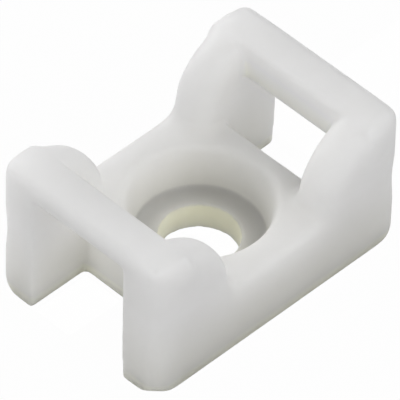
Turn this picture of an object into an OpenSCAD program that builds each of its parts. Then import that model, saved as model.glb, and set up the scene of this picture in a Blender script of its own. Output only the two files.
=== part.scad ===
/* [Body] */
// Overall length, along the tie
body_l = 15; // [14.4:0.1:18]
// Overall width over the ends of the bars, along the cable
body_w = 10.25; // [9.6:0.05:12]
// Height from the mounting face to the top of the bars
body_h = 7.65; // [7:0.05:9]

/* [Legs] */
// Radius of the upright outer corners
corner_r = 0.9; // [0.4:0.05:1.6]
// Radius of the lower side edges
foot_r = 0.1; // [0.1:0.05:0.5]
// Radius of the lower end edges
foot_end_r = 0.1; // [0.05:0.05:0.4]
// Radius of the lower corners, seen across the corner
foot_corner_r = 0.65; // [0.1:0.05:0.9]

/* [Floor] */
// Height of the floor of the saddle
floor_h = 3.65; // [3.2:0.05:4]
// Radius of the floor's two side edges
floor_edge_r = 0.4; // [0.1:0.05:0.8]

/* [Tie slots] */
// Length of a slot, from the end face to the solid block under the cable
slot_l = 3.3; // [2.8:0.05:3.6]
// Width of the slots at the mounting face
slot_w = 5.6; // [4.6:0.1:6.2]
// Draft of the slot's side walls below the floor, in degrees
slot_draft = 0.8; // [0.2:0.1:2]

/* [Bars] */
// Depth of a bar, from the end face inwards
bar_d = 2.25; // [1.8:0.05:2.6]
// Height of a bar at its inner face
bar_h = 2; // [1.6:0.05:2.6]
// Height of a bar at the end face
lip_h = 0.95; // [0.9:0.05:1.5]
// How far the ends of the bars stand proud of the side faces
bar_proud = 0.15; // [0.04:0.01:0.3]
// Radius of the upright outer corners of a bar
bar_plan_r = 1.45; // [0.4:0.05:1.8]
// Radius of the outer top edge of a bar
bar_outer_r = 0.75; // [0.2:0.05:0.85]
// Radius of the crowned top of a bar, which falls towards the inner face
bar_crown_r = 4.4; // [3.5:0.1:8]
// Radius of the inner top edge of a bar
bar_inner_r = 0.3; // [0.1:0.05:0.5]
// Lean of a bar's inner face, in degrees
bar_lean = 4; // [0:0.5:8]
// Radius of the top corners of a bar, seen from the end
bar_corner_r = 1.05; // [0.4:0.05:1.6]

/* [Ears] */
// Radius of the quarter-round ears, seen from the side
ear_r = 3.95; // [3.4:0.05:4.4]
// Distance from the end face to the centre of the ears
ear_in = 0.95; // [0.4:0.05:1.2]
// Radius of the two edges of an ear's rim
ear_edge_r = 1; // [0.4:0.05:1.1]

/* [Screw hole] */
// Diameter of the through hole for the screw
bore_d = 3.8; // [3:0.1:4.6]
// Height of the seat under the screw head
seat_h = 1.5; // [1:0.05:2.2]
// Diameter of the flat seat
seat_d = 5.9; // [5.2:0.1:6.2]
// Diameter of the recess at the floor
rim_d = 6.6; // [6.2:0.1:6.8]
// Radius of the rounded rim of the recess
rim_r = 0.3; // [0.1:0.05:0.4]

/* [Hidden] */
$fn = 96;
eps = 0.01;

half_l = body_l / 2;
half_w = body_w / 2;
side_y = half_w - bar_proud;
floor_l = body_l - 2 * slot_l;
slot_floor_w = slot_w - 2 * floor_h * tan(slot_draft);
ear_w = side_y - slot_floor_w / 2;
ear_x = half_l - ear_in;
rim_edge_r = min(ear_edge_r, 0.49 * ear_w);

// Material outside a rounded corner: the corner is at the origin and the shape fills +x +y
module corner_relief(r) {
    difference() {
        translate([-eps, -eps]) square(r + eps);
        translate([r, r]) circle(r);
    }
}

// Extrudes an outline drawn in X and Z across the width
module across(w) {
    translate([0, w / 2, 0]) rotate([90, 0, 0]) linear_extrude(w) children();
}

// Extrudes an outline drawn in Y and Z along the length
module along(l) {
    translate([-l / 2, 0, 0]) rotate([90, 0, 90]) linear_extrude(l) children();
}

module both_ends() {
    children();
    mirror([1, 0, 0]) children();
}

module both_sides() {
    children();
    mirror([0, 1, 0]) children();
}

// Outline seen from above, with four round corners
module plan_outline(w, r) {
    square([body_l, w - 2 * r], center = true);
    square([body_l - 2 * r, w], center = true);
    for (sx = [-1, 1], sy = [-1, 1])
        translate([sx * (half_l - r), sy * (w / 2 - r)]) circle(r);
}

// Outline seen from the side: round top edges of the bars and rounded lower end edges
module side_outline() {
    difference() {
        translate([-half_l, 0]) square([body_l, body_h]);
        both_ends() {
            translate([-half_l, 0]) corner_relief(foot_end_r);
            translate([half_l, body_h]) rotate(180) corner_relief(bar_outer_r);
        }
    }
}

// Outline seen from the end: round top corners of the bars and rounded lower side edges
module end_outline() {
    difference() {
        translate([-half_w, 0]) square([body_w, body_h]);
        both_ends() {
            translate([-side_y, 0]) corner_relief(foot_r);
            translate([half_w, body_h]) rotate(180) corner_relief(bar_corner_r);
        }
    }
}

// Relief that rounds off the lower end of one upright corner
module foot_corner() {
    reach = 2 * corner_r;
    translate([half_l - corner_r, side_y - corner_r]) rotate(45) translate([corner_r, reach, 0])
        rotate([90, 0, 0]) linear_extrude(2 * reach) mirror([1, 0]) corner_relief(foot_corner_r);
}

// Floor block, with its two side edges rounded
module floor_block() {
    along(floor_l) difference() {
        translate([-side_y, 0]) square([2 * side_y, floor_h]);
        both_ends() translate([side_y, floor_h]) rotate(180) corner_relief(floor_edge_r);
    }
}

// Legs at one end, with the slot for the tie between them
module legs() {
    translate([half_l - slot_l / 2, 0, 0]) along(slot_l) difference() {
        translate([-side_y, 0]) square([2 * side_y, floor_h]);
        polygon([
            [-slot_w / 2, 0],
            [-slot_floor_w / 2, floor_h],
            [slot_floor_w / 2, floor_h],
            [slot_w / 2, 0]
        ]);
    }
    both_sides() translate([ear_x, slot_floor_w / 2, floor_h])
        cube([ear_in, ear_w, body_h - lip_h - floor_h]);
}

// Half of the ear's section: the thickness of the side wall with a rim that is round at both edges
module ear_section() {
    difference() {
        square([ear_r, ear_w]);
        translate([ear_r, 0]) rotate(90) corner_relief(rim_edge_r);
        translate([ear_r, ear_w]) rotate(180) corner_relief(rim_edge_r);
    }
}

// Quarter-round ear: half a disc with a rounded rim, standing on a foot of the same section
module ear() {
    translate([ear_x, side_y, floor_h]) {
        rotate([90, 0, 0]) rotate_extrude(angle = 180) ear_section();
        intersection() {
            translate([0, 0, -floor_edge_r]) rotate(180) linear_extrude(floor_edge_r) ear_section();
            translate([-ear_r, -ear_w, -floor_edge_r]) cube([ear_r - ear_x + floor_l / 2, ear_w, floor_edge_r]);
        }
    }
}

// Section of a bar: crowned top, leaning inner face and an underside that rises to the end face
module bar_section() {
    foot = [half_l - bar_d, body_h - bar_h];
    up_face = [sin(bar_lean), cos(bar_lean)];
    into_bar = [cos(bar_lean), -sin(bar_lean)];
    crown = [half_l - bar_outer_r, body_h - bar_crown_r];
    // The round of the inner top edge touches both the inner face and the crown
    start = foot + bar_inner_r * into_bar;
    along_face = (crown - start) * up_face;
    off_face = (crown - start) * into_bar;
    climb = along_face + sqrt((bar_crown_r - bar_inner_r)^2 - off_face^2);
    edge = start + climb * up_face;
    touch = crown + (edge - crown) * bar_crown_r / (bar_crown_r - bar_inner_r);
    intersection() {
        polygon([
            foot,
            foot + climb * up_face,
            edge,
            touch,
            [touch.x, body_h],
            [half_l, body_h],
            [half_l, body_h - lip_h]
        ]);
        translate(crown) circle(bar_crown_r);
    }
    translate(edge) circle(bar_inner_r);
}

// Tapered recess for the screw head with a rounded rim, and the through hole
module screw_hole() {
    lean = atan((rim_d - seat_d) / 2 / (floor_h - seat_h));
    reach = rim_r / tan(45 + lean / 2);
    rim = [rim_d / 2, floor_h];
    centre = rim + [reach, -rim_r];
    translate([0, 0, -eps]) cylinder(d = bore_d, h = floor_h);
    rotate_extrude() difference() {
        polygon([
            [0, seat_h],
            [seat_d / 2, seat_h],
            rim - reach * [sin(lean), cos(lean)],
            centre,
            [centre.x, body_h],
            [0, body_h]
        ]);
        translate(centre) circle(rim_r);
    }
}

// Floor, legs and ears, trimmed to the round upright corners
module saddle() {
    intersection() {
        union() {
            floor_block();
            both_ends() {
                legs();
                both_sides() ear();
            }
        }
        linear_extrude(body_h) plan_outline(2 * side_y, corner_r);
    }
}

// The two bars that close the slots at the top
module bars() {
    intersection() {
        both_ends() across(body_w) bar_section();
        linear_extrude(body_h) plan_outline(body_w, bar_plan_r);
    }
}

module mount_body() {
    color("whitesmoke") difference() {
        intersection() {
            union() {
                saddle();
                bars();
            }
            across(body_w) side_outline();
            along(body_l) end_outline();
        }
        screw_hole();
        both_ends() both_sides() foot_corner();
    }
}

mount_body();
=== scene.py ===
from math import cos, pi, radians, sin

import bmesh
import bpy
import numpy as np
from mathutils import Matrix, Vector


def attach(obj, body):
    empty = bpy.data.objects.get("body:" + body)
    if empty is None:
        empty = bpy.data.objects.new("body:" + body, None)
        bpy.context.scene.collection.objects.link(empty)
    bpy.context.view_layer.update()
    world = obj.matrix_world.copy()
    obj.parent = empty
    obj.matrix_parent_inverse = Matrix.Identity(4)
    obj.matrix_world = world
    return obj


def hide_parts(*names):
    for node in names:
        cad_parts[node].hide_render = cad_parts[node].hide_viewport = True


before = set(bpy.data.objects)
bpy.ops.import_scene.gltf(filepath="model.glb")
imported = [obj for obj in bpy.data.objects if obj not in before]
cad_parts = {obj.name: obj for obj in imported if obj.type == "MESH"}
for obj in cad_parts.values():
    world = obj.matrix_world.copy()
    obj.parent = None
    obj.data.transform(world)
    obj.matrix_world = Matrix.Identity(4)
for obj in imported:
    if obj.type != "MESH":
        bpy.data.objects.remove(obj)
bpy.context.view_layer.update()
scene = bpy.context.scene
mm = 0.001
middle = Vector((0, 0, 3 * mm))  # the lamps and the camera point here


def link(obj):
    scene.collection.objects.link(obj)
    return obj


def meshFrom(obj, name):
    # The object with its modifiers, as a plain mesh
    depsgraph = bpy.context.evaluated_depsgraph_get()
    mesh = bpy.data.meshes.new_from_object(obj.evaluated_get(depsgraph))
    mesh.name = name
    return mesh


def emptyTree(owner):
    # The node tree of a material or world, with nothing in it yet
    owner.use_nodes = True
    owner.node_tree.nodes.clear()
    return owner.node_tree


def addNode(tree, kind, **values):
    # A shader node, with its own settings by attribute and its constant inputs by socket name
    node = tree.nodes.new(kind)
    for key, value in values.pop("sockets", {}).items():
        node.inputs[key].default_value = value
    for key, value in values.items():
        setattr(node, key, value)
    return node


def direction(azimuth, elevation):
    # From the mount outwards; azimuth 0 is the side at -Y
    a, e = radians(azimuth), radians(elevation)
    return Vector((sin(a) * cos(e), -cos(a) * cos(e), sin(e)))


def fall(value, full, none):
    # 1 as far as full, then evenly down to 0 at none
    return np.clip((none - value) / (none - full), 0, 1)


# Moulded nylon: milky, with a satin skin; the painted light and shade come with the mesh
nylon = {
    "colour": (0.862, 0.854, 0.852),
    "cloudColour": (0.832, 0.824, 0.817),
    "cloudSize": 3 * mm,
    "cloudDetail": 3,
    "noiseRange": (0.3, 0.7),  # the part of a noise that is used
    "refraction": 1.53,
    "scatterDepth": 4.5 * mm,
    "roughness": (0.5, 0.62),
    "grainSize": 0.12 * mm,
    "grainDetail": 4,
    "grainHeight": 0.004 * mm,
    "grainStrength": 0.5,
}


def makeNylon():
    material = bpy.data.materials.new("naturalNylon")
    tree = emptyTree(material)
    output = addNode(tree, "ShaderNodeOutputMaterial")
    shader = addNode(tree, "ShaderNodeBsdfPrincipled", subsurface_method="RANDOM_WALK", sockets={
        "IOR": nylon["refraction"],
        "Subsurface Weight": 1,
        "Subsurface Radius": (1, 1, 1),
        "Subsurface Scale": nylon["scatterDepth"],
    })
    coords = addNode(tree, "ShaderNodeTexCoord")
    clouds = addNode(tree, "ShaderNodeTexNoise", sockets={
        "Scale": 1 / nylon["cloudSize"], "Detail": nylon["cloudDetail"]})
    cloudRamp = addNode(tree, "ShaderNodeValToRGB")
    cloudColours = nylon["cloudColour"], nylon["colour"]
    for element, position, colour in zip(cloudRamp.color_ramp.elements, nylon["noiseRange"], cloudColours):
        element.position = position
        element.color = (*colour, 1)
    # painted light and shade, read from the mesh, multiply the colour
    paintedLightShade = addNode(tree, "ShaderNodeAttribute", attribute_name="paintedLightShade")
    blend = addNode(tree, "ShaderNodeMix", data_type="RGBA", blend_type="MULTIPLY")
    blend.inputs["Factor"].default_value = 1
    grain = addNode(tree, "ShaderNodeTexNoise", sockets={
        "Scale": 1 / nylon["grainSize"], "Detail": nylon["grainDetail"]})
    gloss = addNode(tree, "ShaderNodeMapRange", sockets={
        "From Min": nylon["noiseRange"][0], "From Max": nylon["noiseRange"][1],
        "To Min": nylon["roughness"][0], "To Max": nylon["roughness"][1]})
    bump = addNode(tree, "ShaderNodeBump", sockets={
        "Strength": nylon["grainStrength"], "Distance": nylon["grainHeight"]})
    for noise in (clouds, grain):
        tree.links.new(coords.outputs["Object"], noise.inputs["Vector"])
    tree.links.new(clouds.outputs["Fac"], cloudRamp.inputs["Fac"])
    tree.links.new(cloudRamp.outputs["Color"], blend.inputs["A"])
    tree.links.new(paintedLightShade.outputs["Color"], blend.inputs["B"])
    tree.links.new(blend.outputs["Result"], shader.inputs["Base Color"])
    tree.links.new(grain.outputs["Fac"], gloss.inputs["Value"])
    tree.links.new(gloss.outputs["Result"], shader.inputs["Roughness"])
    tree.links.new(grain.outputs["Fac"], bump.inputs["Height"])
    tree.links.new(bump.outputs["Normal"], shader.inputs["Normal"])
    tree.links.new(shader.outputs["BSDF"], output.inputs["Surface"])
    return material


# Painted light and shade on the nylon: a painted glow, lighter and warmer, along the bottom edges, on the
# screw hole's wall and on the bars' lower inner edges; painted shade, duller, low down and on the seat.
# Each is full as far as its first limit and gone past the second, in millimetres: the height, the radius
# round the screw, the side as |y| and the reach round a bar's lower inner edge
paintedLightAndShade = {
    # painted shade: darker and duller towards the bottom
    "low": {"colour": (0.815, 0.815, 0.765), "limits": {"height": (0, 4.5)}},
    # painted shade in the recess: the seat darker
    "seat": {"colour": (0.66, 0.66, 0.645), "limits": {"radius": (3.025, 3.15), "height": (1.575, 1.7)}},
    # painted light: a warm glow along the bottom edges
    "edge": {"colour": (1.15, 1.15, 0.88), "limits": {"height": (0.117, 0.7)}},
    # painted light: a warm glow on the screw hole's wall
    "hole": {"colour": (1.12, 1.1, 0.78), "limits": {"radius": (1.805, 1.93), "height": (1.345, 1.47)}},
    # painted light: a glow on the bars' lower inner edges
    "barFoot": {"colour": (1.15, 1.15, 0.97), "limits": {"reach": (0.367, 1.1), "side": (2.5, 2.7)},
                "at": (5.25, 5.65)},  # |x| and height of that edge
}


# Colour of the painted light and shade at each point
def paintedLightAndShadeAt(points):
    endward, side, height = np.abs(points).T
    barX, barHeight = paintedLightAndShade["barFoot"]["at"]
    measures = {
        "height": height,
        "side": side,
        "radius": np.hypot(endward, side),
        "reach": np.hypot(endward - barX, height - barHeight),
    }
    colour = np.ones((len(points), 3))
    for paintedLightShade in paintedLightAndShade.values():
        shares = [fall(measures[name], *limits) for name, limits in paintedLightShade["limits"].items()]
        colour += np.min(shares, axis=0)[:, None] * (np.array(paintedLightShade["colour"]) - colour)
    return np.hstack([colour, np.ones((len(points), 1))])


# The moulding, with the soft edges and corners of a moulded part; lengths in millimetres
moulding = {
    "mergeWithin": 0.001,
    "voxel": 0.096,
    "softness": 0.15,
    "largestStep": 0.5,  # share of the way to its neighbours' mean that a point moves in one round
    "boreRadius": 1.9,
    "boreWithin": 1.92,  # holds the points of the hole alone
    "boreAllowance": 0.06,  # for what the softening takes from the hole's edges
}

# Where it is softer or crisper: round a line at a distance (along x or y, or round the screw) and a height.
# The fade from that line and the sides as |y| are full as far as the first number and gone past the second
softSpots = {
    "barEnds": {"from": "x", "at": (6.3, 6.9), "fade": (0.733, 2.2), "sides": (3.9, 3), "reach": 0.26},
    "barRoots": {"from": "x", "at": (5.3, 6.6), "fade": (0.467, 1.4), "sides": (4.2, 3.2), "reach": 0.25},
    "earFeet": {"from": "x", "at": (2.6, 3.65), "fade": (0.467, 1.4), "sides": (2.8, 2.2), "reach": 0.46},
    "floorEdges": {"from": "y", "at": (4.97, 3.65), "fade": (0.5, 1.5), "sides": (3.8, 3.1), "reach": 0.52},
    "recessRim": {"from": "r", "at": (3.4, 3.6), "fade": (0.283, 0.85), "sides": (0, -1), "reach": 0.36},
    "boreEdge": {"from": "r", "at": (1.85, 1.5), "fade": (0.183, 0.55), "sides": (0, -1), "reach": 0.06},
    "barEdges": {"from": "x", "at": (5.45, 7.25), "fade": (0.183, 0.55), "sides": (3, 3.9), "reach": 0.06},
}


def softReach(points):
    endward, side = np.abs(points[:, :2]).T
    distance = {"x": endward, "y": side, "r": np.hypot(endward, side)}
    reach = np.full(len(points), moulding["softness"])
    for spot in softSpots.values():
        away = np.hypot(distance[spot["from"]] - spot["at"][0], points[:, 2] - spot["at"][1])
        share = fall(away, *spot["fade"]) * fall(side, *spot["sides"])
        reach += share * (spot["reach"] - reach)
    return reach


def soften(points, edges, reach):
    # Rounds edges and corners off, over about the reach given for each point
    first, second = edges.T
    count = np.bincount(edges.ravel(), minlength=len(points))[:, None]
    spread = 2 * (reach / moulding["voxel"]) ** 2
    rounds = int(np.ceil(spread.max() / moulding["largestStep"]))
    share = (spread / rounds)[:, None]
    for _ in range(rounds):
        sums = [np.bincount(first, column[second], len(points))
                + np.bincount(second, column[first], len(points)) for column in points.T]
        points = points + share * (np.stack(sums, axis=1) / count - points)
    return points


def evenSkin():
    # The solid with its hole narrowed, as a skin of even small faces in millimetres
    shape = bmesh.new()
    shape.from_mesh(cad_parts["mount_body"].data)
    bmesh.ops.remove_doubles(shape, verts=shape.verts, dist=moulding["mergeWithin"] * mm)
    narrower = 1 - moulding["boreAllowance"] / moulding["boreRadius"]
    for vert in shape.verts:
        if vert.co.xy.length < moulding["boreWithin"] * mm:
            vert.co.xy *= narrower
    rough = bpy.data.meshes.new("roughMoulding")
    shape.to_mesh(rough)
    shape.free()
    rough.transform(Matrix.Scale(1 / mm, 4))  # in metres a voxel this small isn't taken
    worker = link(bpy.data.objects.new("roughMoulding", rough))
    remesh = worker.modifiers.new("evenSkin", "REMESH")
    remesh.mode = "VOXEL"
    remesh.voxel_size = moulding["voxel"]
    skin = meshFrom(worker, "mountBody")
    bpy.data.objects.remove(worker)
    return skin


def makeMoulding(material):
    skin = evenSkin()
    points = np.empty(len(skin.vertices) * 3)
    edges = np.empty(len(skin.edges) * 2, int)
    skin.vertices.foreach_get("co", points)
    skin.edges.foreach_get("vertices", edges)
    points = points.reshape(-1, 3)
    points = soften(points, edges.reshape(-1, 2), softReach(points))
    skin.vertices.foreach_set("co", (points * mm).ravel())
    skin.update()
    # the painted light and shade, kept on the mesh for the material
    paintedLightShade = skin.attributes.new("paintedLightShade", "FLOAT_COLOR", "POINT")
    paintedLightShade.data.foreach_set("color", paintedLightAndShadeAt(points).ravel())
    skin.shade_smooth()
    skin.materials.clear()
    skin.materials.append(material)
    body = link(bpy.data.objects.new("mountBody", skin))
    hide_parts("mount_body")
    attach(body, "root")
    print("moulding:", len(skin.polygons), "faces")


# White surround: the camera sees it white, and the floor keeps the shadow
surround = {
    "floorSize": 0.8,
    "floorDrop": 0.02 * mm,
    "floorColour": (0.5, 0.5, 0.5),
    "floorGlow": 0.06,  # light that spreads inside the white floor
    "whiteShare": 0.98,
    "fill": (0.04, 0.04, 0.04),
}

# More of that light on bare floor in and behind the mount; lengths in millimetres
glowSpots = {
    "screwHole": {"radius": 1.85, "corners": 32, "glow": 0.55},
    "farSlot": {"x": (4.35, 7.4), "y": (-2.65, 2.65), "glow": 0.22},
    "nearSlot": {"x": (-7.4, -4.35), "y": (0.5, 2.65), "glow": 0.5},
    "behind": {"x": (8, 22), "y": (-4.5, 4.5), "glow": 0.32},
}


def seenDirectly(tree):
    # 1 on rays from the camera and on reflected and transmitted rays, else 0
    path = addNode(tree, "ShaderNodeLightPath")
    total = path.outputs["Is Camera Ray"]
    for ray in ("Is Glossy Ray", "Is Transmission Ray"):
        either = addNode(tree, "ShaderNodeMath", operation="MAXIMUM")
        tree.links.new(total, either.inputs[0])
        tree.links.new(path.outputs[ray], either.inputs[1])
        total = either.outputs["Value"]
    return total


def makePaleFloor():
    material = bpy.data.materials.new("paleFloor")
    tree = emptyTree(material)
    output = addNode(tree, "ShaderNodeOutputMaterial")
    matte = addNode(tree, "ShaderNodeBsdfDiffuse", sockets={"Color": (*surround["floorColour"], 1)})
    white = addNode(tree, "ShaderNodeEmission", sockets={"Color": (1, 1, 1, 1), "Strength": 1})
    share = addNode(tree, "ShaderNodeMath", operation="MULTIPLY")
    share.inputs[1].default_value = surround["whiteShare"]
    level = addNode(tree, "ShaderNodeAttribute", attribute_name="glow")
    glow = addNode(tree, "ShaderNodeEmission")
    pale = addNode(tree, "ShaderNodeAddShader")
    mix = addNode(tree, "ShaderNodeMixShader")
    tree.links.new(level.outputs["Fac"], glow.inputs["Strength"])
    tree.links.new(seenDirectly(tree), share.inputs[0])
    tree.links.new(share.outputs["Value"], mix.inputs["Fac"])
    tree.links.new(matte.outputs["BSDF"], pale.inputs[0])
    tree.links.new(glow.outputs["Emission"], pale.inputs[1])
    tree.links.new(pale.outputs["Shader"], mix.inputs[1])
    tree.links.new(white.outputs["Emission"], mix.inputs[2])
    tree.links.new(mix.outputs["Shader"], output.inputs["Surface"])
    return material


def cornersOf(spot):
    if "radius" in spot:
        turns = [2 * pi * step / spot["corners"] for step in range(spot["corners"])]
        return [(spot["radius"] * cos(turn), spot["radius"] * sin(turn)) for turn in turns]
    (left, right), (near, far) = spot["x"], spot["y"]
    return [(left, near), (right, near), (right, far), (left, far)]


def makeFloor(material):
    half, drop = surround["floorSize"] / 2, surround["floorDrop"]
    verts = [(-half, -half, -drop), (half, -half, -drop), (half, half, -drop), (-half, half, -drop)]
    faces, glows = [range(4)], [surround["floorGlow"]]
    for spot in glowSpots.values():
        corners = cornersOf(spot)
        faces.append(range(len(verts), len(verts) + len(corners)))
        glows.append(spot["glow"])
        verts += [(x * mm, y * mm, -drop / 2) for x, y in corners]  # just over the floor
    mesh = bpy.data.meshes.new("floor")
    mesh.from_pydata(verts, [], faces)
    mesh.attributes.new("glow", "FLOAT", "FACE").data.foreach_set("value", glows)
    mesh.materials.append(material)
    link(bpy.data.objects.new("floor", mesh))


def makeWorld():
    world = bpy.data.worlds.new("whiteStudio")
    scene.world = world
    tree = emptyTree(world)
    output = addNode(tree, "ShaderNodeOutputWorld")
    fill = addNode(tree, "ShaderNodeBackground", sockets={"Color": (*surround["fill"], 1)})
    white = addNode(tree, "ShaderNodeBackground", sockets={"Color": (1, 1, 1, 1)})
    mix = addNode(tree, "ShaderNodeMixShader")
    tree.links.new(seenDirectly(tree), mix.inputs["Fac"])
    tree.links.new(fill.outputs["Background"], mix.inputs[1])
    tree.links.new(white.outputs["Background"], mix.inputs[2])
    tree.links.new(mix.outputs["Shader"], output.inputs["Surface"])


# Soft lamps round the mount: the key stands behind it, and the front is lit low
lamps = {
    "keyLamp": {"azimuth": 180, "elevation": 25, "distance": 0.4, "size": 0.37, "power": 1.22},
    "sideLamp": {"azimuth": 58, "elevation": 40, "distance": 0.4, "size": 0.29, "power": 0.5},
    "lowLamp": {"azimuth": -78, "elevation": 12, "distance": 0.4, "size": 0.29, "power": 0.79},
    "frontLamp": {"azimuth": 0, "elevation": 40, "distance": 0.4, "size": 0.29, "power": 0.56},
}


def makeLamps():
    for name, lamp in lamps.items():
        light = bpy.data.lights.new(name, "AREA")
        light.shape = "SQUARE"
        light.size = lamp["size"]
        light.energy = lamp["power"]
        away = direction(lamp["azimuth"], lamp["elevation"])
        obj = link(bpy.data.objects.new(name, light))
        obj.location = middle + lamp["distance"] * away
        obj.rotation_euler = away.to_track_quat("Z", "Y").to_euler()


# Camera as in the picture; the lens and the sensor are in millimetres, as Blender takes them
camera = {
    "azimuth": -45.821,
    "elevation": 45.2,
    "roll": 1.642,
    "distance": 283.85 * mm,
    "sideways": -0.01 * mm,
    "upwards": 0.435 * mm,
    "lens": 585.54,
    "sensor": 36,
    "clip": (0.01, 10),
}


def makeCamera():
    data = bpy.data.cameras.new("camera")
    data.sensor_width = camera["sensor"]
    data.lens = camera["lens"]
    data.clip_start, data.clip_end = camera["clip"]
    back = direction(camera["azimuth"], camera["elevation"])
    level = Vector((0, 0, 1)).cross(back).normalized()
    upright = back.cross(level)
    turn = radians(camera["roll"])
    right = cos(turn) * level + sin(turn) * upright
    up = back.cross(right)
    place = middle + camera["distance"] * back
    place += camera["sideways"] * right + camera["upwards"] * up
    obj = link(bpy.data.objects.new("camera", data))
    obj.matrix_world = Matrix.Translation(place) @ Matrix((right, up, back)).transposed().to_4x4()
    scene.camera = obj


scene.view_settings.view_transform = "Standard"
makeMoulding(makeNylon())
makeFloor(makePaleFloor())
makeWorld()
print("floor and surround made")
makeLamps()
makeCamera()
print("lamps and camera placed")
